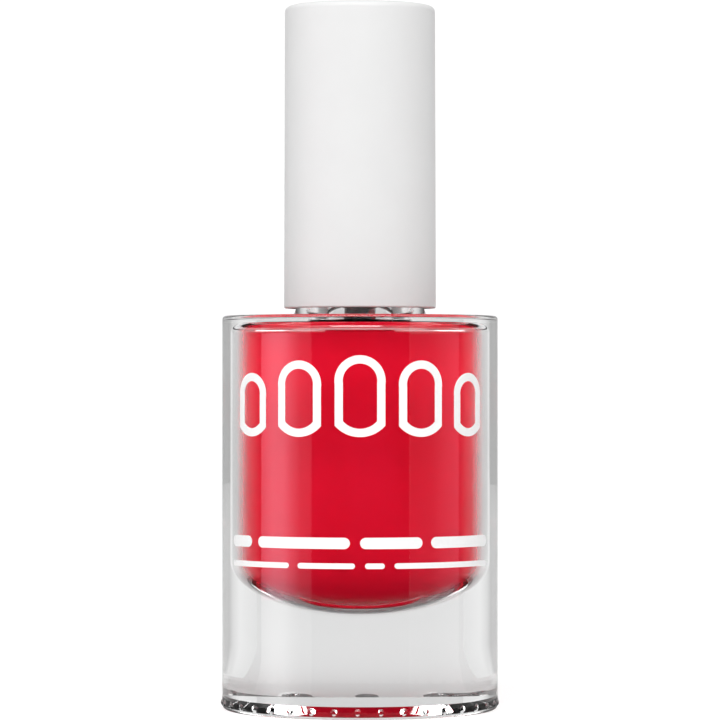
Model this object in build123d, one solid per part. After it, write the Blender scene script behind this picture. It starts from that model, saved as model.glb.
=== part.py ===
from build123d import *
import os
from math import radians, sin, sqrt

# Round glass nail polish bottle with a heavy clear base, a tall white screw cap and a brush applicator.
# Millimetres. +Z is up, the origin is the centre of the base, and the printed front faces -Y.

# ---- glass bottle ----
BODY_R = 13.75  # outer radius of the round body
SHOULDER_Z = 39.2  # flat top of the shoulder
SHOULDER_FILLET = 0.35
HEEL_FILLET = 0.5
BEARING_R = 10.3  # inner edge of the ring that the bottle stands on
RECESS_R = 8.9  # flat top of the recess under the base
RECESS_DEPTH = 1.0
HEEL_DOTS = 38  # raised mould dots around the heel
HEEL_DOT_R = 0.45  # shallow bumps, part of a sphere of this radius
HEEL_DOT_RISE = 0.15
HEEL_DOT_Z = 0.72
HEEL_DOT_START = -91  # degrees from +X of the first dot

# ---- cavity of the bottle ----
CAVITY_R = 8.5
FLOOR_Z = 9.6  # lowest point of the bowl-shaped floor
BOWL_DEPTH = 5.0
ROOF_Z = 38.55  # inner face of the shoulder
ROOF_FILLET = 1.0
BORE_FOOT_FILLET = 0.25  # where the roof meets the bore of the neck

# ---- neck finish, 13 mm with two turns of thread ----
NECK_R = 5.75
BORE_R = 3.4
MOUTH_Z = 50.6
COLLAR_FOOT_R = 6.7  # the collar flares into the shoulder
COLLAR_R = 6.3
COLLAR_TOP_Z = 40.7
RIM_FILLET = 0.45
THREAD_PITCH = 2.117  # 12 turns per inch
GLASS_CREST_R = 6.4
GLASS_RIDGE_HALF = 0.55
GLASS_TURNS = 2.0
GLASS_THREAD_Z = 44.85  # centre of the ridge where the thread starts

# ---- closure ----
CAP_BOTTOM_Z = 39.95
CAP_TOP_Z = 70.1
CAP_BOTTOM_R = 7.58
CAP_TOP_R = 7.5
CAP_TOP_FILLET = 0.6
CAP_RIM_FILLET = 0.18
INNER_CAP_R = 7.0
SKIRT_R = 6.5  # root of the closure's thread
CAP_CREST_R = 5.95
CAP_RIDGE_ROOT_HALF = 0.45
CAP_RIDGE_CREST_HALF = 0.18
CAP_TURNS = 1.25
CAP_LEAD = 115  # degrees by which the closure's thread starts after the glass thread
FLANK_SHIFT = 0.2  # the closure's ridge sits this far above the middle of the groove
PLATE_BOTTOM_Z = 52.23
PLATE_THICKNESS = 1.2
SOCKET_TOP_Z = 57.4
SOCKET_R = 3.3
FIN_COUNT = 6
FIN_THICKNESS = 0.7

# ---- applicator ----
STEM_R = 1.6  # shaft in the polish
STEM_NECK_R = 3.1  # thicker part that runs in the neck
STEM_NECK_Z = 39.5
STEM_TIP_R = 1.45
STEM_END_Z = 27.4
FLANGE_R = 5.5
FLANGE_Z = 51.4
FLANGE_THICKNESS = 0.8
PLUG_R = 2.2
PLUG_TOP_Z = 56.9
SNAP_Z = 55.4
SNAP_RISE = 0.2
RUNNING_CLEARANCE = 0.04
TUFT_HOLE_R = 1.12
TUFT_HOLE_TOP_Z = 33.2
TUFT_TIP_Z = 13.4
STAPLE = (2.6, 0.24, 1.4)  # length, thickness, height
STAPLE_Z = 31.4
WASHER_R = 5.3

# ---- contents ----
FILL_GAP = 0.02  # between the polish and the glass
FILL_Z = 38.48
CHANNEL_R = 2.6  # space that the brush and stem take up in the polish
BALL_R = 1.5
BALL_GAP = 0.05
BALL_CHAMBER_R = 3.2

# ---- print on the glass ----
INK = 0.06
PRINT_GAP = 0.01
NAILS = ((-50, 4.0, 6.2), (-25.5, 4.6, 7.4), (0, 4.9, 7.9), (25.5, 4.6, 7.4), (50, 4.0, 6.2))  # angle, width, height
NAIL_FOOT_Z = 27.3
NAIL_LINE = 0.8
BAR_GAP = 4  # degrees
BAR_ROWS = (
    (17.05, 1.1, (14, 42, 26, 34)),  # height of the row's middle, height of a bar, widths in degrees
    (14.85, 0.55, (34, 24, 8, 50)),
)


def lathe(outline):
    """Solid of revolution about Z of a closed outline drawn in the XZ plane as (radius, height)."""
    return revolve(Plane.XZ * make_face(outline), axis=Axis.Z)


def quarter(centre, radius, start):
    """Quarter circle about centre, from the angle start, anticlockwise."""
    return CenterArc(centre, radius, start, 90)


def cavity(gap, top_z):
    """Inside of the bottle, smaller by gap, up to the height top_z in the neck."""
    wall_r = CAVITY_R - gap
    bore_r = BORE_R - gap
    roof_z = ROOF_Z - gap
    rim_z = FLOOR_Z + BOWL_DEPTH
    bowl = EllipticalCenterArc((0, rim_z), wall_r, BOWL_DEPTH - gap, start_angle=270, arc_size=90)
    outer = quarter((wall_r - ROOF_FILLET, roof_z - ROOF_FILLET), ROOF_FILLET, 0)
    foot = BORE_FOOT_FILLET
    inner = CenterArc((bore_r + foot, roof_z + foot), foot, 270, -90)
    outline = (
        bowl
        + Line((wall_r, rim_z), (wall_r, roof_z - ROOF_FILLET))
        + outer
        + Line((wall_r - ROOF_FILLET, roof_z), (bore_r + foot, roof_z))
        + inner
        + Polyline((bore_r, roof_z + foot), (bore_r, top_z), (0, top_z), (0, FLOOR_Z + gap))
    )
    return lathe(outline)


def helical_ridge(section, radius, z, turns, start_angle):
    """A ridge of the given section swept along the thread's helix, with a rounded end at each end."""
    path = Helix(pitch=THREAD_PITCH, height=THREAD_PITCH * turns, radius=radius)
    ridge = sweep(Plane(path @ 0, x_dir=(1, 0, 0), z_dir=path % 0) * section, path=path, is_frenet=True)
    return Pos(0, 0, z) * Rot(0, 0, start_angle) * ridge


def glass_thread():
    """Two turns of rounded ridge on the neck."""
    root = NECK_R - 0.12 - GLASS_CREST_R
    arc = ThreePointArc((root, -GLASS_RIDGE_HALF), (0, 0), (root, GLASS_RIDGE_HALF))
    section = make_face(arc + Line((root, GLASS_RIDGE_HALF), (root, -GLASS_RIDGE_HALF)))
    return helical_ridge(section, GLASS_CREST_R, GLASS_THREAD_Z, GLASS_TURNS, 0)


def closure_thread():
    """The closure's ridge, which runs in the groove under the glass thread."""
    root = SKIRT_R + 0.12 - CAP_CREST_R
    section = make_face(
        Polyline(
            (root, -CAP_RIDGE_ROOT_HALF),
            (0, -CAP_RIDGE_CREST_HALF),
            (0, CAP_RIDGE_CREST_HALF),
            (root, CAP_RIDGE_ROOT_HALF),
            close=True,
        )
    )
    z = GLASS_THREAD_Z - THREAD_PITCH / 2 + FLANK_SHIFT + THREAD_PITCH * CAP_LEAD / 360
    return helical_ridge(section, CAP_CREST_R, z, CAP_TURNS, CAP_LEAD)


def glass_bottle():
    """Thick-walled body, heavy base, neck, thread and heel dots in one piece of glass."""
    wall_top = SHOULDER_Z - SHOULDER_FILLET
    collar_root = (NECK_R, COLLAR_TOP_Z)
    outline = (
        Polyline((0, RECESS_DEPTH), (RECESS_R, RECESS_DEPTH), (BEARING_R, 0), (BODY_R - HEEL_FILLET, 0))
        + quarter((BODY_R - HEEL_FILLET, HEEL_FILLET), HEEL_FILLET, 270)
        + Line((BODY_R, HEEL_FILLET), (BODY_R, wall_top))
        + quarter((BODY_R - SHOULDER_FILLET, wall_top), SHOULDER_FILLET, 0)
        + Polyline((BODY_R - SHOULDER_FILLET, SHOULDER_Z), (COLLAR_FOOT_R, SHOULDER_Z), (COLLAR_R, SHOULDER_Z + 0.9),
                   collar_root, (NECK_R, MOUTH_Z - RIM_FILLET))
        + quarter((NECK_R - RIM_FILLET, MOUTH_Z - RIM_FILLET), RIM_FILLET, 0)
        + Polyline((NECK_R - RIM_FILLET, MOUTH_Z), (0, MOUTH_Z), (0, RECESS_DEPTH))
    )
    glass = lathe(outline) + glass_thread() - cavity(0, MOUTH_Z + 1)
    dot = Pos(BODY_R + HEEL_DOT_RISE - HEEL_DOT_R, 0, HEEL_DOT_Z) * Sphere(HEEL_DOT_R)
    dots = [Rot(0, 0, HEEL_DOT_START + i * 360 / HEEL_DOTS) * dot for i in range(HEEL_DOTS)]
    return glass + dots


def ball_height(centre_r):
    """Height at which a ball centred centre_r from the axis rests on the bowl-shaped floor."""
    lowest = 0
    for step in range(2001):
        r = CAVITY_R * step / 2000
        reach = (BALL_R + BALL_GAP) ** 2 - (r - centre_r) ** 2
        if reach > 0:
            floor = FLOOR_Z + BOWL_DEPTH * (1 - sqrt(1 - (r / CAVITY_R) ** 2))
            lowest = max(lowest, floor + sqrt(reach))
    return lowest


def mixing_ball(side):
    """One of the two steel balls that lie side by side at the bottom of the bowl."""
    centre_r = BALL_R + BALL_GAP
    return Pos(side * centre_r, 0, ball_height(centre_r)) * Sphere(BALL_R)


def nail_polish():
    """The polish that fills the cavity, less the space of the brush, the stem and the balls."""
    chamber_top = FLOOR_Z + 2 * BALL_R + 0.35
    chamber = Pos(0, 0, chamber_top / 2) * Cylinder(BALL_CHAMBER_R, chamber_top)
    channel = Pos(0, 0, (chamber_top + FILL_Z) / 2) * Cylinder(CHANNEL_R, FILL_Z - chamber_top + 2)
    air = Pos(0, 0, FILL_Z + 5) * Cylinder(BODY_R, 10)
    return cavity(FILL_GAP, ROOF_Z + 2) - chamber - channel - air


def ink(shape, angle, z):
    """A flat shape printed on the round wall, centred angle degrees from the front at height z."""
    skin = Cylinder(BODY_R + INK, 2 * SHOULDER_Z) - Cylinder(BODY_R + PRINT_GAP, 2 * SHOULDER_Z)
    block = extrude(Plane((0, 0, z), x_dir=(1, 0, 0), z_dir=(0, -1, 0)) * shape, amount=2 * BODY_R)
    return Rot(0, 0, angle) * (skin & block)


def nail_outline(width, height):
    """A fingernail seen from above: square at the cuticle, rounded at the tip, open inside."""

    def nail(half, foot, tip):
        arch = ThreePointArc((half, tip - half * 1.15), (0, tip), (-half, tip - half * 1.15))
        foot_arc = ThreePointArc((-half, foot + half * 0.45), (0, foot), (half, foot + half * 0.45))
        sides = Line((-half, tip - half * 1.15), (-half, foot + half * 0.45))
        return make_face(arch + sides + foot_arc + Line((half, foot + half * 0.45), (half, tip - half * 1.15)))

    return nail(width / 2, 0, height) - nail(width / 2 - NAIL_LINE, NAIL_LINE, height - NAIL_LINE)


def print_motif():
    """Five plain fingernail outlines across the upper front."""
    return Compound([ink(nail_outline(width, height), angle, NAIL_FOOT_Z).solid() for angle, width, height in NAILS])


def print_bars():
    """Two rows of plain rounded bars low on the front."""
    bars = []
    for z, height, widths in BAR_ROWS:
        edge = -(sum(widths) + BAR_GAP * (len(widths) - 1)) / 2
        for width in widths:
            length = 2 * BODY_R * sin(radians(width / 2))
            bars.append(ink(SlotOverall(length, height), edge + width / 2, z).solid())
            edge += width + BAR_GAP
    return Compound(bars)


def cap_shell():
    """Tall plain outer cap, hollow, with fins that centre the inner cap's socket."""
    seat_top = PLATE_BOTTOM_Z + PLATE_THICKNESS
    roof = CAP_TOP_Z - 1.4
    outside = (
        Line((0, CAP_BOTTOM_Z), (CAP_BOTTOM_R - CAP_RIM_FILLET, CAP_BOTTOM_Z))
        + quarter((CAP_BOTTOM_R - CAP_RIM_FILLET, CAP_BOTTOM_Z + CAP_RIM_FILLET), CAP_RIM_FILLET, 270)
        + Line((CAP_BOTTOM_R, CAP_BOTTOM_Z + CAP_RIM_FILLET), (CAP_TOP_R, CAP_TOP_Z - CAP_TOP_FILLET))
        + quarter((CAP_TOP_R - CAP_TOP_FILLET, CAP_TOP_Z - CAP_TOP_FILLET), CAP_TOP_FILLET, 0)
        + Polyline((CAP_TOP_R - CAP_TOP_FILLET, CAP_TOP_Z), (0, CAP_TOP_Z), (0, CAP_BOTTOM_Z))
    )
    bore = INNER_CAP_R + 0.01
    inside = Polyline((0, CAP_BOTTOM_Z - 1), (bore, CAP_BOTTOM_Z - 1), (bore, seat_top), (bore - 0.4, seat_top),
                      (bore - 0.5, roof), (0, roof), close=True)
    shell = lathe(outside) - lathe(inside)
    fin_reach = bore - SOCKET_R - 0.1
    fin = Pos(SOCKET_R + 0.1 + fin_reach / 2, 0, (seat_top + roof + 0.2) / 2) * Box(
        fin_reach, FIN_THICKNESS, roof - seat_top + 0.2
    )
    fins = [Rot(0, 0, i * 360 / FIN_COUNT) * fin for i in range(FIN_COUNT)]
    return shell + fins - Cylinder(bore, 2 * (seat_top + 0.02))


def inner_cap():
    """Threaded closure with a top plate and the socket that holds the applicator's plug."""
    foot = CAP_BOTTOM_Z + 0.25
    plate_top = PLATE_BOTTOM_Z + PLATE_THICKNESS
    plug_hole = PLUG_R + RUNNING_CLEARANCE
    groove = SNAP_RISE + RUNNING_CLEARANCE
    outside = Polyline((0, foot), (INNER_CAP_R, foot), (INNER_CAP_R, plate_top), (SOCKET_R, plate_top),
                       (SOCKET_R, SOCKET_TOP_Z), (0, SOCKET_TOP_Z), close=True)
    inside = Polyline((0, foot - 1), (SKIRT_R + 0.2, foot - 1), (SKIRT_R + 0.2, foot + 0.3), (SKIRT_R, foot + 0.6),
                      (SKIRT_R, PLATE_BOTTOM_Z), (plug_hole, PLATE_BOTTOM_Z), (plug_hole, SNAP_Z - groove),
                      (plug_hole + groove, SNAP_Z), (plug_hole, SNAP_Z + groove), (plug_hole, SOCKET_TOP_Z + 1),
                      (0, SOCKET_TOP_Z + 1), close=True)
    return lathe(outside) - lathe(inside) + closure_thread()


def staple_block():
    """The flat wire anchor's block."""
    length, thickness, height = STAPLE
    return Pos(0, 0, STAPLE_Z + height / 2) * Box(length, thickness, height)


def brush_stem():
    """Moulded stem: snap plug, sealing flange, shaft, and a hole for the folded tuft."""
    flange_top = FLANGE_Z + FLANGE_THICKNESS
    outline = Polyline((0, STEM_END_Z), (STEM_TIP_R - 0.2, STEM_END_Z), (STEM_TIP_R, STEM_END_Z + 0.2),
                       (STEM_TIP_R, TUFT_HOLE_TOP_Z), (STEM_R, TUFT_HOLE_TOP_Z + 4), (STEM_R, STEM_NECK_Z - 0.6),
                       (STEM_NECK_R, STEM_NECK_Z), (STEM_NECK_R, FLANGE_Z),
                       (FLANGE_R, FLANGE_Z), (FLANGE_R, flange_top), (PLUG_R, flange_top),
                       (PLUG_R, SNAP_Z - SNAP_RISE), (PLUG_R + SNAP_RISE, SNAP_Z), (PLUG_R, SNAP_Z + SNAP_RISE),
                       (PLUG_R, PLUG_TOP_Z - 0.4), (PLUG_R - 0.4, PLUG_TOP_Z), (0, PLUG_TOP_Z), close=True)
    hole_depth = TUFT_HOLE_TOP_Z - STEM_END_Z + 1
    hole = Pos(0, 0, TUFT_HOLE_TOP_Z - hole_depth / 2) * Cylinder(TUFT_HOLE_R, hole_depth)
    return lathe(outline) - hole - staple_block()


def brush_staple():
    """Flat wire anchor that holds the folded tuft in the stem."""
    return staple_block()


def brush_bristles():
    """The tuft as one plain solid: round in the stem, a flat oval below it, rounded at the tip."""
    hair_r = TUFT_HOLE_R - 0.01
    sections = (
        (STEM_END_Z, hair_r, hair_r),
        (STEM_END_Z - 4, 1.55, 1.12),
        (STEM_END_Z - 9, 1.9, 1.15),
        (TUFT_TIP_Z + 2.2, 2.05, 1.05),
        (TUFT_TIP_Z + 0.7, 1.6, 0.75),
        (TUFT_TIP_Z, 0.7, 0.35),
    )
    fan = loft([Pos(0, 0, z) * Ellipse(across, deep).face() for z, across, deep in sections])
    held_length = TUFT_HOLE_TOP_Z - 0.02 - STEM_END_Z
    held = Pos(0, 0, STEM_END_Z + held_length / 2) * Cylinder(hair_r, held_length)
    return fan + held - staple_block()


def sealing_washer():
    """Foam washer on the bottle's mouth, a close fit round the stem."""
    thickness = FLANGE_Z - MOUTH_Z
    ring = Cylinder(WASHER_R, thickness) - Cylinder(STEM_NECK_R + RUNNING_CLEARANCE, thickness)
    return Pos(0, 0, MOUTH_Z + thickness / 2) * ring


PARTS = {
    "glass_bottle": glass_bottle,
    "nail_polish": nail_polish,
    "mixing_ball_left": lambda: mixing_ball(-1),
    "mixing_ball_right": lambda: mixing_ball(1),
    "print_motif": print_motif,
    "print_bars": print_bars,
    "cap_shell": cap_shell,
    "inner_cap": inner_cap,
    "sealing_washer": sealing_washer,
    "brush_stem": brush_stem,
    "brush_staple": brush_staple,
    "brush_bristles": brush_bristles,
}

os.makedirs("parts", exist_ok=True)
for name, make in PARTS.items():
    part = make()
    export_step(part, f"parts/{name}.step")
    print(f"{name}: {part.volume:.1f} mm3")
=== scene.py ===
from math import acos, atan2, cos, hypot, pi, radians, sin, sqrt, tan

import bpy
import numpy as np
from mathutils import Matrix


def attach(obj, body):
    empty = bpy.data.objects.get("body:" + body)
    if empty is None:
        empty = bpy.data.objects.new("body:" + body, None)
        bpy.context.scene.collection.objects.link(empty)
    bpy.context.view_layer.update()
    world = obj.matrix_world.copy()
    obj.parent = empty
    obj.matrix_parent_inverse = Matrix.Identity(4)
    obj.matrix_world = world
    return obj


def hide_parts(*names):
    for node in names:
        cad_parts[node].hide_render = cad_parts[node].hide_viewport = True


MM = 0.001

# Sizes in millimetres, as in the CAD.
BODY_R = 13.75
SHOULDER_Z = 39.2
SHOULDER_FILLET = 0.35
HEEL_FILLET = 0.5
BEARING_R = 10.3
RECESS_R = 8.9
RECESS_DEPTH = 1.0
RECESS_FILLET = 0.12
HEEL_DOTS = 38
HEEL_DOT_R = 0.45
HEEL_DOT_RISE = 0.15
HEEL_DOT_Z = 0.72
HEEL_DOT_START = -91
CAVITY_R = 8.5
FLOOR_Z = 9.6
BOWL_DEPTH = 5.0
ROOF_Z = 38.55
ROOF_FILLET = 1.0
BORE_FOOT_FILLET = 0.25
NECK_R = 5.75
BORE_R = 3.4
MOUTH_Z = 50.6
COLLAR_FOOT_R = 6.7
COLLAR_R = 6.3
COLLAR_TOP_Z = 40.7
RIM_FILLET = 0.45
THREAD_PITCH = 2.117
THREAD_CREST_R = 6.4
THREAD_BEAD_R = 0.58
THREAD_TURNS = 2.0
THREAD_Z = 44.85
FILL_Z = 38.48
POLISH_OVERLAP = 0.01
CAP_BOTTOM_Z = 39.95
CAP_TOP_Z = 70.1
CAP_BOTTOM_R = 7.58
CAP_TOP_R = 7.5
CAP_TOP_FILLET = 0.6
CAP_RIM_FILLET = 0.18
CAP_BORE_R = 7.01
CAP_SEAT_Z = 53.43
CAP_ROOF_Z = 68.7
GLASS_SEGMENTS = HEEL_DOTS * 20
BOWL_STEPS = 48

# (slant, share of the polish's look that is mirrored); the slant is 0 seen straight on and 1 seen edge on.
MIRROR_SHARES = (
    (0.36, 0),
    (0.45, 0.06),
    (0.50, 0.16),
    (0.56, 0.42),
    (0.60, 0.62),
    (0.67, 0.92),
    (0.72, 1),
)

# Brush.
STEM_END_Z = 27.4
TUFT_TIP_Z = 13.4
TUFT_ROOT_R = 1.05
TUFT_HALF_WIDTH = 2.0
TUFT_ROUNDING = 2.4  # how much shorter the outermost filaments are
FILAMENT_R = 0.045
FILAMENTS = 330

# Camera, fitted to the outline of the cap and the base.
CAMERA_DISTANCE = 390
EYE_Z = 33
VIEW_WIDTH = 71.93  # width of the picture at the bottle's axis
HORIZON_BELOW_CENTRE = 0.025  # share of the picture's height

# Studio.
# The walls of light and shade below are lists of (degrees from the camera, brightness).
LEFT_LIGHT = ((40, 0.45), (50, 0.65), (57, 1.3), (66, 2.4), (76, 2.4), (83, 1.8), (91, 1.0))
RIGHT_LIGHT = ((41.5, 0.2), (61, 0.3), (70, 0.5), (80, 0.65), (95, 0.8))
SIDE_FLAG = ((84, 0.2), (96, 0.22), (110, 0.3), (124, 0.38), (130, 0.76), (138, 0.9), (150, 0.81))
POLISH_LIGHT = ((50, 1.3), (85, 1.3), (95, 5.2), (140, 5.2))
WALL_STEPS = 48
PANEL_DISTANCE = 600  # of the side lights from the bottle
PANEL_FOOT = -300  # below the floor, so that the glass front mirrors the side lights and not the floor
LIGHT_TOP = 44
LIGHT_CORNER = 25
SIDE_TINT = (1.7, 1.0, 1.22, 1)
TINT_FOOT = -22  # the side lights are neutral below this height
FLAG_DISTANCE = 90
FLAG_FOOT_R = 40
FLAG_TOP = 46
SHADE_R = 22
SKY = ((0.0, 0.8), (0.82, 0.8), (0.93, 0.1))  # height in the sky, brightness
TOP_LIGHT_WATTS = 11
FLOOR_GAP = 0.05  # between the floor that the camera sees and the one that the glass shows
FLOOR_HALF_WIDTH = 2500
SWEEP_START = 600  # where the floor starts to curve up into the backdrop
SWEEP_R = 400


# ---- profiles and meshes ----


def rounded(corners, steps=8, support=0.03):
    """Points along a line of (radius, height, fillet) corners, with an arc at each corner that has a fillet.

    A point set off by support on each side of an arc keeps the flat parts beside it flat."""
    points = [corners[0][:2]]
    for before, corner, after in zip(corners, corners[1:], corners[2:]):
        x, z, fillet = corner
        if not fillet:
            points.append((x, z))
            continue
        to_before = unit(before[0] - x, before[1] - z)
        to_after = unit(after[0] - x, after[1] - z)
        half = acos(max(-1, min(1, to_before[0] * to_after[0] + to_before[1] * to_after[1]))) / 2
        reach = fillet / tan(half)
        bisector = unit(to_before[0] + to_after[0], to_before[1] + to_after[1])
        centre = (x + bisector[0] * fillet / sin(half), z + bisector[1] * fillet / sin(half))
        start = (x + to_before[0] * reach, z + to_before[1] * reach)
        end = (x + to_after[0] * reach, z + to_after[1] * reach)
        first = atan2(start[1] - centre[1], start[0] - centre[0])
        turn = (atan2(end[1] - centre[1], end[0] - centre[0]) - first + pi) % (2 * pi) - pi
        points.append((start[0] + to_before[0] * support, start[1] + to_before[1] * support))
        for i in range(steps + 1):
            angle = first + turn * i / steps
            points.append((centre[0] + fillet * cos(angle), centre[1] + fillet * sin(angle)))
        points.append((end[0] + to_after[0] * support, end[1] + to_after[1] * support))
    points.append(corners[-1][:2])
    return points


def unit(x, z):
    """The direction (x, z) at length one."""
    length = hypot(x, z)
    return (x / length, z / length)


def lathe(name, profile, segments=256, bump=None, sharp_angle=40):
    """A closed mesh turned about Z from a profile that starts and ends on the axis.

    bump(angle, radius, z) adds to the radius."""
    angle = np.arange(segments) * 2 * pi / segments
    rings = np.array(profile[1:-1])
    radius = np.repeat(rings[:, :1], segments, axis=1)
    height = np.repeat(rings[:, 1:], segments, axis=1)
    if bump:
        radius = radius + bump(angle[None, :], radius, height)
    ring_points = np.stack([radius * np.cos(angle), radius * np.sin(angle), height], axis=-1).reshape(-1, 3)
    poles = [(0, 0, profile[0][1]), (0, 0, profile[-1][1])]
    points = np.concatenate([ring_points, poles]) * MM
    here = np.arange(segments)
    there = (here + 1) % segments
    faces = []
    for row in range(len(rings) - 1):
        low = row * segments
        high = low + segments
        faces += np.stack([low + here, low + there, high + there, high + here], axis=1).tolist()
    start, end = len(ring_points), len(ring_points) + 1
    last = (len(rings) - 1) * segments
    faces += [(start, int(b), int(a)) for a, b in zip(here, there)]
    faces += [(end, int(last + a), int(last + b)) for a, b in zip(here, there)]
    mesh = bpy.data.meshes.new(name)
    mesh.from_pydata(points.tolist(), [], faces)
    return finish_mesh(name, mesh, sharp_angle)


def finish_mesh(name, mesh, sharp_angle):
    """An object from the mesh, smooth-shaded except where it folds by more than sharp_angle."""
    mesh.validate()
    mesh.shade_smooth()
    mesh.set_sharp_from_angle(angle=radians(sharp_angle))
    obj = bpy.data.objects.new(name, mesh)
    bpy.context.scene.collection.objects.link(obj)
    return obj


def add(obj, body, material, *nodes, slot=None):
    """Gives a modelled piece its material, its CAD body and the CAD nodes it stands for."""
    obj.data.materials.clear()
    obj.data.materials.append(material)
    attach(obj, body)
    if nodes:
        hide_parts(*nodes)
    return obj


# ---- node materials ----


class Nodes:
    """Short names for building a material's node tree."""

    def __init__(self, name):
        self.material = bpy.data.materials.new(name)
        self.material.use_nodes = True
        self.tree = self.material.node_tree
        self.tree.nodes.clear()
        self.output = self.tree.nodes.new("ShaderNodeOutputMaterial")
        self.coordinates = self.tree.nodes.new("ShaderNodeTexCoord").outputs["Object"]

    def node(self, kind, links=None, **settings):
        """A node with its links and settings; a setting that isn't an attribute is an input."""
        node = self.tree.nodes.new("ShaderNode" + kind)
        for key, value in settings.items():
            setattr(node, key, value)
        for key, value in (links or {}).items():
            if isinstance(value, bpy.types.NodeSocket):
                self.tree.links.new(value, node.inputs[key])
            else:
                node.inputs[key].default_value = value
        return node

    def noise(self, scale, detail=3.0, stretch=(1, 1, 1), roughness=0.5):
        """Noise over the piece's own coordinates; scale is in bumps per metre."""
        mapping = self.node("Mapping", {"Vector": self.coordinates, "Scale": stretch})
        links = {"Vector": mapping.outputs[0], "Scale": scale, "Detail": detail, "Roughness": roughness}
        return self.node("TexNoise", links).outputs["Fac"]

    def fit(self, value, low, high, to_low, to_high):
        """The value's range low to high mapped to to_low to to_high."""
        links = {"Value": value, "From Min": low, "From Max": high, "To Min": to_low, "To Max": to_high}
        return self.node("MapRange", links).outputs[0]

    def mix(self, factor, a, b):
        """Colour a where factor is 0 and b where it is 1."""
        node = self.node("Mix", data_type="RGBA")
        for socket, value in ((node.inputs[0], factor), (node.inputs[6], a), (node.inputs[7], b)):
            if isinstance(value, bpy.types.NodeSocket):
                self.tree.links.new(value, socket)
            else:
                socket.default_value = value
        return node.outputs[2]

    def ramp(self, value, stops):
        """The value passed through a curve of (from, to) stops."""
        node = self.node("ValToRGB", {"Fac": value})
        set_stops(node, stops)
        return node.outputs[0]

    def height(self):
        """The piece's Z coordinate in millimetres."""
        z = self.node("SeparateXYZ", {"Vector": self.coordinates}).outputs["Z"]
        return self.node("Math", {0: z, 1: 1 / MM}, operation="MULTIPLY").outputs[0]

    def bump(self, value, distance, strength=1.0):
        """A surface normal from a height value; distance is in millimetres."""
        links = {"Height": value, "Distance": distance * MM, "Strength": strength}
        return self.node("Bump", links).outputs[0]

    def shade(self, **links):
        """The Principled surface, with underscores in names for spaces."""
        named = {key.replace("_", " "): value for key, value in links.items()}
        return self.node("BsdfPrincipled", named)

    def done(self, shader):
        """Connects the shader to the output and returns the material."""
        self.tree.links.new(shader.outputs[0], self.output.inputs["Surface"])
        return self.material


def set_stops(node, stops):
    """Gives a colour ramp its (place, grey level) stops."""
    elements = node.color_ramp.elements
    for place, level in stops[1:-1]:
        elements.new(place).color = (level, level, level, 1)
    for element, (place, level) in ((elements[0], stops[0]), (elements[-1], stops[-1])):
        element.position = place
        element.color = (level, level, level, 1)


def clear_glass():
    """Clear flint glass with a faint unevenness."""
    n = Nodes("clear glass")
    waves = n.noise(90, 2)
    tint = n.mix(n.noise(160, 3), (0.985, 0.99, 0.99, 1), (1, 1, 1, 1))
    return n.done(
        n.shade(
            Base_Color=tint,
            Roughness=0.0,
            IOR=1.52,
            Transmission_Weight=1.0,
            Normal=n.bump(waves, 0.004),
        )
    )


def red_polish():
    """Opaque red polish seen through the glass: a matte body colour that turns to a mirror at low angles.

    The rounded rim at the top of the polish also mirrors part of its surroundings."""
    n = Nodes("red polish")
    swirl = n.noise(220, 5, (1, 1, 0.3))
    colour = n.mix(n.fit(swirl, 0.35, 0.65, 0, 1), (0.90, 0.0075, 0.031, 1), (0.94, 0.0095, 0.038, 1))
    slant = n.node("LayerWeight", {"Blend": 0.5}).outputs["Facing"]
    body = n.node("BsdfDiffuse", {"Color": colour})
    sheen = n.node("BsdfGlossy", {"Color": (1, 1, 1, 1), "Roughness": 0.02})
    share = n.ramp(slant, MIRROR_SHARES)
    rim = n.fit(n.height(), ROOF_Z - 1.1, ROOF_Z - 0.4, 0, 1)
    rim_shine = n.ramp(rim, ((0, 0), (0.3, 0.4), (0.7, 0.4), (1, 0)))
    mirrored = n.node("Math", {0: share, 1: rim_shine}, operation="MAXIMUM").outputs[0]
    return n.done(n.node("MixShader", {0: mirrored, 1: body.outputs[0], 2: sheen.outputs[0]}))


def white_cap():
    """Satin white plastic with a fine moulded grain."""
    n = Nodes("white cap")
    tone = n.mix(n.noise(300, 4), (0.69, 0.69, 0.69, 1), (0.715, 0.715, 0.715, 1))
    grain = n.noise(9000, 2)
    rough = n.fit(n.noise(700, 3), 0.3, 0.7, 0.42, 0.5)
    return n.done(n.shade(Base_Color=tone, Roughness=rough, Normal=n.bump(grain, 0.004)))


def moulded_plastic(name, colour, roughness, low_tone):
    """Moulded plastic with slight mottling and a fine grain."""
    n = Nodes(name)
    dark = tuple(channel * low_tone for channel in colour) + (1,)
    tone = n.mix(n.noise(500, 4), dark, colour + (1,))
    grain = n.noise(4000, 2)
    rough = n.fit(n.noise(900, 3), 0.3, 0.7, roughness - 0.06, roughness + 0.06)
    return n.done(n.shade(Base_Color=tone, Roughness=rough, Normal=n.bump(grain, 0.006)))


def white_ink():
    """Screen-printed ink with the mesh's slight unevenness."""
    n = Nodes("white ink")
    tone = n.mix(n.noise(2500, 3), (0.86, 0.86, 0.86, 1), (0.93, 0.93, 0.93, 1))
    return n.done(n.shade(Base_Color=tone, Roughness=0.4, Normal=n.bump(n.noise(6000, 2), 0.004)))


def steel():
    """Smooth steel with fine scratches."""
    n = Nodes("steel")
    tone = n.mix(n.noise(2000, 4, (1, 1, 0.2)), (0.5, 0.5, 0.51, 1), (0.66, 0.66, 0.67, 1))
    rough = n.fit(n.noise(3000, 3), 0.3, 0.7, 0.15, 0.3)
    return n.done(n.shade(Base_Color=tone, Roughness=rough, Metallic=1.0))


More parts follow.
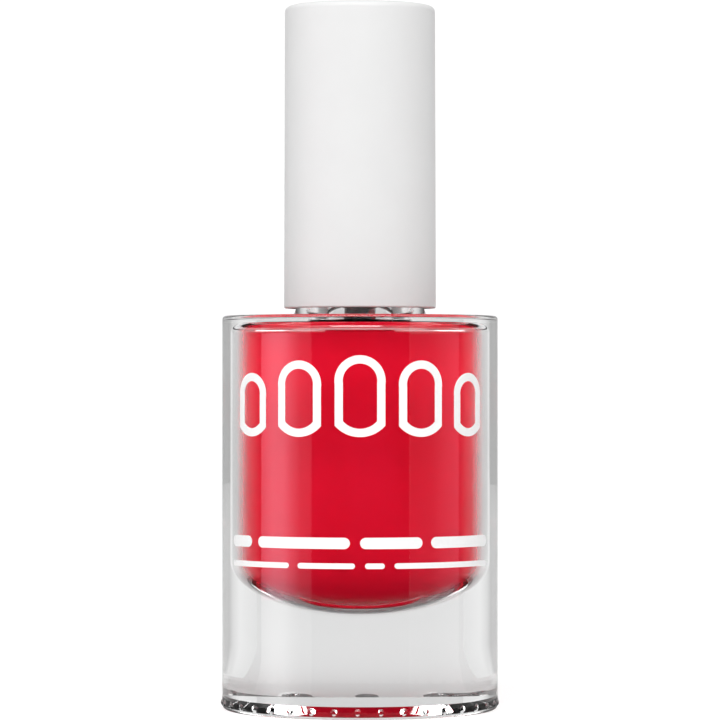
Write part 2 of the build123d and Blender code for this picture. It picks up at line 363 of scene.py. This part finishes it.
def coated_stem():
    """Black stem, coated with polish below the fill line."""
    n = Nodes("coated stem")
    ragged = n.node("Math", {0: n.height(), 1: n.fit(n.noise(700, 3), 0.3, 0.7, -1.2, 1.2)}, operation="ADD")
    coat = n.fit(ragged.outputs[0], FILL_Z - 0.4, FILL_Z + 0.2, 1, 0)
    tone = n.mix(n.noise(600, 3), (0.02, 0.02, 0.022, 1), (0.035, 0.035, 0.037, 1))
    colour = n.mix(coat, tone, (0.72, 0.006, 0.024, 1))
    return n.done(n.shade(Base_Color=colour, Roughness=n.fit(coat, 0, 1, 0.4, 0.08)))


def wet_filament():
    """Dark nylon filament wet with polish, barer at the root."""
    n = Nodes("wet filament")
    ragged = n.node("Math", {0: n.height(), 1: n.fit(n.noise(900, 3), 0.3, 0.7, -2, 2)}, operation="ADD")
    wet = n.fit(ragged.outputs[0], STEM_END_Z - 3.5, STEM_END_Z - 1, 1, 0)
    red = n.mix(n.noise(1500, 3), (0.45, 0.004, 0.015, 1), (0.64, 0.01, 0.03, 1))
    return n.done(n.shade(Base_Color=n.mix(wet, (0.05, 0.03, 0.03, 1), red), Roughness=0.15))


# ---- pieces ----


def cavity_profile(growth):
    """Inside of the bottle from the neck bore down to the bowl's lowest point, larger by growth."""
    wall_r = CAVITY_R + growth
    bore_r = BORE_R + growth
    roof_z = ROOF_Z + growth
    rim_z = FLOOR_Z + BOWL_DEPTH
    top = rounded(
        [
            (bore_r, FILL_Z + 4, 0),
            (bore_r, roof_z, BORE_FOOT_FILLET),
            (wall_r, roof_z, ROOF_FILLET),
            (wall_r, rim_z + 0.1, 0),
        ],
        steps=12,
    )
    quarter_turn = [i * pi / (2 * BOWL_STEPS) for i in range(BOWL_STEPS + 1)]
    bowl = [(wall_r * cos(a), rim_z - (BOWL_DEPTH + growth) * sin(a)) for a in quarter_turn]
    return top[1:] + bowl[:-1] + [(0, FLOOR_Z - growth)]


def surface_bumps(angle, radius, z):
    """Height of the neck's thread and of the heel dots over the lathe-turned glass."""
    return thread_height(angle, radius, z) + dot_height(angle, radius, z)


def thread_height(angle, radius, z):
    """Height of the helical bead above the neck wall."""
    height = np.zeros(np.broadcast(angle, radius, z).shape)
    turn = angle / (2 * pi) + np.zeros_like(z)
    for whole in range(3):
        along = turn + whole
        off_centre = z - (THREAD_Z + THREAD_PITCH * along)
        inside = np.clip(THREAD_BEAD_R**2 - off_centre**2, 0, None)
        bead = THREAD_CREST_R - THREAD_BEAD_R + np.sqrt(inside) - NECK_R
        taper = np.clip(np.minimum(along, THREAD_TURNS - along) * 14, 0, 1)
        bead = np.where(inside > 0, bead * taper, 0)
        height = np.maximum(height, np.where(np.abs(radius - NECK_R) < 0.01, bead, 0))
    return height


def dot_height(angle, radius, z):
    """Height of the round dots on the heel."""
    spacing = 2 * pi / HEEL_DOTS
    start = radians(HEEL_DOT_START)
    offset = (angle - start + spacing / 2) % spacing - spacing / 2
    apart = np.hypot(offset * radius, z - HEEL_DOT_Z)
    cap = np.sqrt(np.clip(HEEL_DOT_R**2 - apart**2, 0, None)) - (HEEL_DOT_R - HEEL_DOT_RISE)
    near_wall = (radius > BODY_R - 0.3) & (z < 2)
    return np.where(near_wall, np.clip(cap, 0, None), 0)


def glass_profile():
    """Outside of the bottle from the middle of its recess to the mouth, then the cavity."""
    outside = rounded(
        [
            (0, RECESS_DEPTH, 0),
            (RECESS_R, RECESS_DEPTH, RECESS_FILLET),
            (BEARING_R, 0, RECESS_FILLET),
            (BODY_R, 0, HEEL_FILLET),
            (BODY_R, SHOULDER_Z, SHOULDER_FILLET),
            (COLLAR_FOOT_R, SHOULDER_Z, 0.15),
            (COLLAR_R, SHOULDER_Z + 0.9, 0.3),
            (NECK_R, COLLAR_TOP_Z, 0.2),
            (NECK_R, MOUTH_Z, RIM_FILLET),
            (BORE_R, MOUTH_Z, 0.3),
            (BORE_R, MOUTH_Z - 1, 0),
        ]
    )
    heel_rows = [(BODY_R, 0.55 + 0.05 * i) for i in range(14)]
    neck_rows = [(NECK_R, COLLAR_TOP_Z + 0.4 + 0.16 * i) for i in range(56)]
    profile = merge_rows(outside, heel_rows + neck_rows)
    return profile + cavity_profile(0)


def merge_rows(profile, rows):
    """The profile with extra rows put on its straight walls, each between the two points it lies between."""
    merged = [profile[0]]
    for a, b in zip(profile, profile[1:]):
        if abs(a[0] - b[0]) < 1e-9:
            between = [row for row in rows if abs(row[0] - a[0]) < 1e-6 and a[1] < row[1] < b[1]]
            merged += sorted(between, key=lambda row: row[1])
        merged.append(b)
    return merged


def make_bottle():
    """The glass, with refracting inner and outer surfaces."""
    bottle = lathe("bottle_glass", glass_profile(), GLASS_SEGMENTS, surface_bumps)
    add(bottle, "bottle", clear_glass(), "glass_bottle", slot="clear_glass")


def make_polish():
    """The polish, which wets the glass and is level just under the roof of the cavity."""
    wetted = [point for point in cavity_profile(POLISH_OVERLAP) if point[1] < FILL_Z]
    profile = [(0, FILL_Z), (wetted[0][0], FILL_Z)] + wetted
    profile.reverse()
    add(lathe("polish", profile, 192), "bottle", red_polish(), "nail_polish", slot="red_polish")


def make_cap():
    """The white outer cap."""
    profile = rounded(
        [
            (0, CAP_TOP_Z, 0),
            (CAP_TOP_R, CAP_TOP_Z, CAP_TOP_FILLET),
            (CAP_BOTTOM_R, CAP_BOTTOM_Z, CAP_RIM_FILLET),
            (CAP_BORE_R, CAP_BOTTOM_Z, 0.08),
            (CAP_BORE_R, CAP_SEAT_Z, 0),
            (CAP_BORE_R - 0.4, CAP_SEAT_Z, 0),
            (CAP_BORE_R - 0.5, CAP_ROOF_Z, 0.3),
            (0, CAP_ROOF_Z, 0),
        ]
    )
    profile.reverse()
    cap = lathe("outer_cap", profile, 256)
    add(cap, "cap", white_cap(), "cap_shell", slot="white_cap")


def make_tuft():
    """Several hundred filaments that spread into a flat, round-ended brush."""
    random = np.random.default_rng(7)
    curve = bpy.data.curves.new("tuft", "CURVE")
    curve.dimensions = "3D"
    curve.bevel_depth = FILAMENT_R * MM
    curve.bevel_resolution = 1
    for _ in range(FILAMENTS):
        turn = random.uniform(0, 2 * pi)
        out = sqrt(random.uniform(0, 1))
        x, y = out * cos(turn), out * sin(turn)
        tip_z = TUFT_TIP_Z + TUFT_ROUNDING * (1 - sqrt(max(0, 1 - x * x))) + random.uniform(0, 0.35)
        spline = curve.splines.new("POLY")
        spline.points.add(6)
        for i in range(7):
            t = i / 6
            z = STEM_END_Z + 2 + (tip_z - STEM_END_Z - 2) * t
            spread = 1 - (1 - max(0, (t - 0.12) / 0.88)) ** 2 if t > 0.12 else 0
            across = TUFT_ROOT_R + (TUFT_HALF_WIDTH - TUFT_ROOT_R) * spread - 0.5 * max(0, t - 0.8) / 0.2
            deep = TUFT_ROOT_R + 0.1 * spread - 0.35 * max(0, t - 0.75) / 0.25
            spline.points[i].co = (x * across * MM, y * deep * MM, z * MM, 1)
            spline.points[i].radius = 1 if i < 6 else 0.5
    tuft = bpy.data.objects.new("tuft", curve)
    bpy.context.scene.collection.objects.link(tuft)
    add(tuft, "brush", wet_filament(), "brush_bristles", slot="bristles")


def finish_cad(node, material):
    """Material for a CAD node that is shown as it is."""
    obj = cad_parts[node]
    obj.data.materials.clear()
    obj.data.materials.append(material)


def make_cad_pieces():
    """The pieces whose CAD shape is shown."""
    ink = white_ink()
    metal = steel()
    finish_cad("print_motif", ink)
    finish_cad("print_bars", ink)
    finish_cad("mixing_ball_left", metal)
    finish_cad("mixing_ball_right", metal)
    finish_cad("brush_staple", metal)
    finish_cad("brush_stem", coated_stem())
    finish_cad("inner_cap", moulded_plastic("closure", (0.82, 0.82, 0.81), 0.45, 0.95))
    finish_cad("sealing_washer", moulded_plastic("foam", (0.85, 0.85, 0.82), 0.8, 0.88))


# ---- studio ----


def stage_mesh(name, points, faces, material):
    """A studio piece, which isn't part of the object."""
    mesh = bpy.data.meshes.new(name)
    mesh.from_pydata([tuple(c * MM for c in point) for point in points], [], faces)
    mesh.materials.append(material)
    mesh.shade_smooth()
    obj = bpy.data.objects.new(name, mesh)
    bpy.context.scene.collection.objects.link(obj)
    return obj


def paint(name, tone):
    """Plain matte paint."""
    n = Nodes(name)
    return n.done(n.node("BsdfDiffuse", {"Color": (tone, tone, tone, 1)}))


def pale_paint(name, tone, glow):
    """Matte paint that glows slightly."""
    n = Nodes(name)
    matte = n.node("BsdfDiffuse", {"Color": (tone, tone, tone, 1)})
    light = n.node("Emission", {"Color": (1, 1, 1, 1), "Strength": glow})
    return n.done(n.node("AddShader", {0: matte.outputs[0], 1: light.outputs[0]}))


def sheet(name, profile, material):
    """A wide sheet along a profile of (y, z)."""
    points = [(x, y, z) for y, z in profile for x in (-FLOOR_HALF_WIDTH, FLOOR_HALF_WIDTH)]
    faces = [(2 * i, 2 * i + 1, 2 * i + 3, 2 * i + 2) for i in range(len(profile) - 1)]
    return stage_mesh(name, points, faces, material)


def make_floor():
    """Pale floor that curves up into the backdrop.

    The camera sees it pure white. The glass shows a slightly darker one just under it, and mirrors
    none of the front part."""
    sweep = [
        (SWEEP_START + SWEEP_R * sin(radians(a)), SWEEP_R - SWEEP_R * cos(radians(a)))
        for a in range(0, 91, 6)
    ]
    sweep.append((SWEEP_START + SWEEP_R, 2200))
    white = sheet("white floor", [(-1500, 0)] + sweep, pale_paint("white floor", 0.4, 0.68))
    white.visible_diffuse = False
    white.visible_glossy = False
    white.visible_transmission = False
    white.visible_shadow = False
    lowered = [(y, z - FLOOR_GAP) for y, z in sweep]
    grey = pale_paint("grey floor", 0.66, 0.1)
    front = sheet("grey floor front", [(-1500, -FLOOR_GAP), (0, -FLOOR_GAP)], grey)
    front.visible_glossy = False
    back = sheet("grey floor back", [(0, -FLOOR_GAP)] + lowered, grey)
    front.visible_camera = False
    back.visible_camera = False


def make_wall(name, side, rows, tones, rounding=0, tint=(1, 1, 1, 1)):
    """A glowing wall round the bottle through (distance, height) rows, given from the bottom up.

    tones lists (degrees from the camera, brightness). The top corner at the far end is rounded."""
    angles = np.linspace(tones[0][0], tones[-1][0], WALL_STEPS + 1)
    levels = np.interp(angles, [tone[0] for tone in tones], [tone[1] for tone in tones])
    far = rows[-1][0] * radians(tones[-1][0] - tones[0][0])
    points = []
    for share, angle in zip(np.linspace(0, 1, WALL_STEPS + 1), np.radians(angles)):
        over = max(0, share * far - (far - rounding))
        drop = rounding - sqrt(max(0, rounding**2 - over**2))
        points += [(side * distance * sin(angle), -distance * cos(angle), z) for distance, z in rows]
        points[-1] = (points[-1][0], points[-1][1], points[-1][2] - drop)
    count = len(rows)
    faces = [
        (count * i + row, count * (i + 1) + row, count * (i + 1) + row + 1, count * i + row + 1)
        for i in range(WALL_STEPS)
        for row in range(count - 1)
    ]
    n = Nodes(name)
    level = n.node("Attribute", attribute_name="level").outputs["Fac"]
    material = n.done(n.node("Emission", {"Color": tint, "Strength": level}))
    wall = stage_mesh(name, points, faces, material)
    attribute = wall.data.attributes.new("level", "FLOAT", "POINT")
    attribute.data.foreach_set("value", np.repeat(levels, count))
    wall.visible_camera = False
    return wall


def only_through_glass(obj):
    """Hides a studio piece from everything but mirrored and refracted views, so that it casts no shadow."""
    obj.visible_camera = False
    obj.visible_diffuse = False
    obj.visible_shadow = False
    return obj


def make_card(name, corners, tone):
    """A flat matte card with its four corners in order."""
    card = stage_mesh(name, corners, [(0, 1, 2, 3)], paint(name, tone))
    card.visible_camera = False


def make_top_light():
    """Broad soft light above and in front of the bottle, too high to mirror in its upright walls."""
    data = bpy.data.lights.new("top light", "AREA")
    data.shape = "RECTANGLE"
    data.size = 1.2
    data.size_y = 0.7
    data.energy = TOP_LIGHT_WATTS
    light = bpy.data.objects.new("top light", data)
    light.location = (-0.12, -0.75, 0.75)
    light.rotation_euler = (radians(48), 0, 0)
    bpy.context.scene.collection.objects.link(light)


def make_world():
    """Pale sky that darkens overhead."""
    world = bpy.data.worlds.new("studio")
    world.use_nodes = True
    tree = world.node_tree
    split = tree.nodes.new("ShaderNodeSeparateXYZ")
    tree.links.new(tree.nodes.new("ShaderNodeTexCoord").outputs["Generated"], split.inputs[0])
    sky = tree.nodes.new("ShaderNodeValToRGB")
    tree.links.new(split.outputs["Z"], sky.inputs["Fac"])
    set_stops(sky, SKY)
    tree.links.new(sky.outputs[0], tree.nodes["Background"].inputs["Color"])
    bpy.context.scene.world = world


def make_studio():
    """Floor, lights at both sides and above, dark surroundings behind the camera and pale ones elsewhere."""
    make_floor()
    low_rows = ((PANEL_DISTANCE, PANEL_FOOT), (PANEL_DISTANCE, TINT_FOOT))
    light_rows = ((PANEL_DISTANCE, TINT_FOOT), (PANEL_DISTANCE, LIGHT_TOP))
    flag_rows = ((FLAG_FOOT_R, 0.02), (FLAG_DISTANCE, 0.02), (FLAG_DISTANCE, FLAG_TOP))
    polish_rows = ((FLAG_DISTANCE, FLAG_TOP + 5), (FLAG_DISTANCE, 4 * FLAG_TOP))
    for name, side, tones in (("left", -1, LEFT_LIGHT), ("right", 1, RIGHT_LIGHT)):
        lights = (
            make_wall(name + " low light", side, low_rows, tones),
            make_wall(name + " light", side, light_rows, tones, LIGHT_CORNER, SIDE_TINT),
        )
        for light in lights:
            light.visible_transmission = False
            light.visible_diffuse = False
        only_through_glass(make_wall(name + " flag", side, flag_rows, SIDE_FLAG))
        polish_light = only_through_glass(make_wall(name + " polish light", side, polish_rows, POLISH_LIGHT))
        polish_light.visible_glossy = False
    # Dark disc round the bottle's foot, seen only through the glass: a painted contact shadow on the floor
    # just behind the bottle.
    ring = [(SHADE_R * cos(i * pi / 32), SHADE_R * sin(i * pi / 32), 0.01) for i in range(64)]
    only_through_glass(stage_mesh("shade", ring, [tuple(range(64))], paint("shade", 0.3)))
    make_card("dark room", [(-700, -800, -400), (700, -800, -400), (700, -800, 420), (-700, -800, 420)], 0.01)
    make_top_light()
    make_world()


def make_camera():
    """Camera level with the bottle's upper half, looking along +Y."""
    data = bpy.data.cameras.new("camera")
    data.sensor_width = 36
    data.lens = 36 * CAMERA_DISTANCE / VIEW_WIDTH
    data.shift_y = HORIZON_BELOW_CENTRE
    data.clip_start = 0.01
    data.clip_end = 20
    camera = bpy.data.objects.new("camera", data)
    camera.location = (0, -CAMERA_DISTANCE * MM, EYE_Z * MM)
    camera.rotation_euler = (pi / 2, 0, 0)
    bpy.context.scene.collection.objects.link(camera)
    bpy.context.scene.camera = camera


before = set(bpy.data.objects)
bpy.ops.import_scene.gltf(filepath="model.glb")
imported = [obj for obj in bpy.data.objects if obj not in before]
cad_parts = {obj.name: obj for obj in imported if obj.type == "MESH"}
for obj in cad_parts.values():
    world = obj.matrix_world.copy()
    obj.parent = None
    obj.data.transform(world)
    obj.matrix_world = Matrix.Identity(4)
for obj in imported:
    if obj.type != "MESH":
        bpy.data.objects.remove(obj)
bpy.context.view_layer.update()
make_bottle()
make_polish()
make_cap()
make_tuft()
make_cad_pieces()
make_studio()
make_camera()
bpy.context.scene.view_settings.view_transform = "Standard"
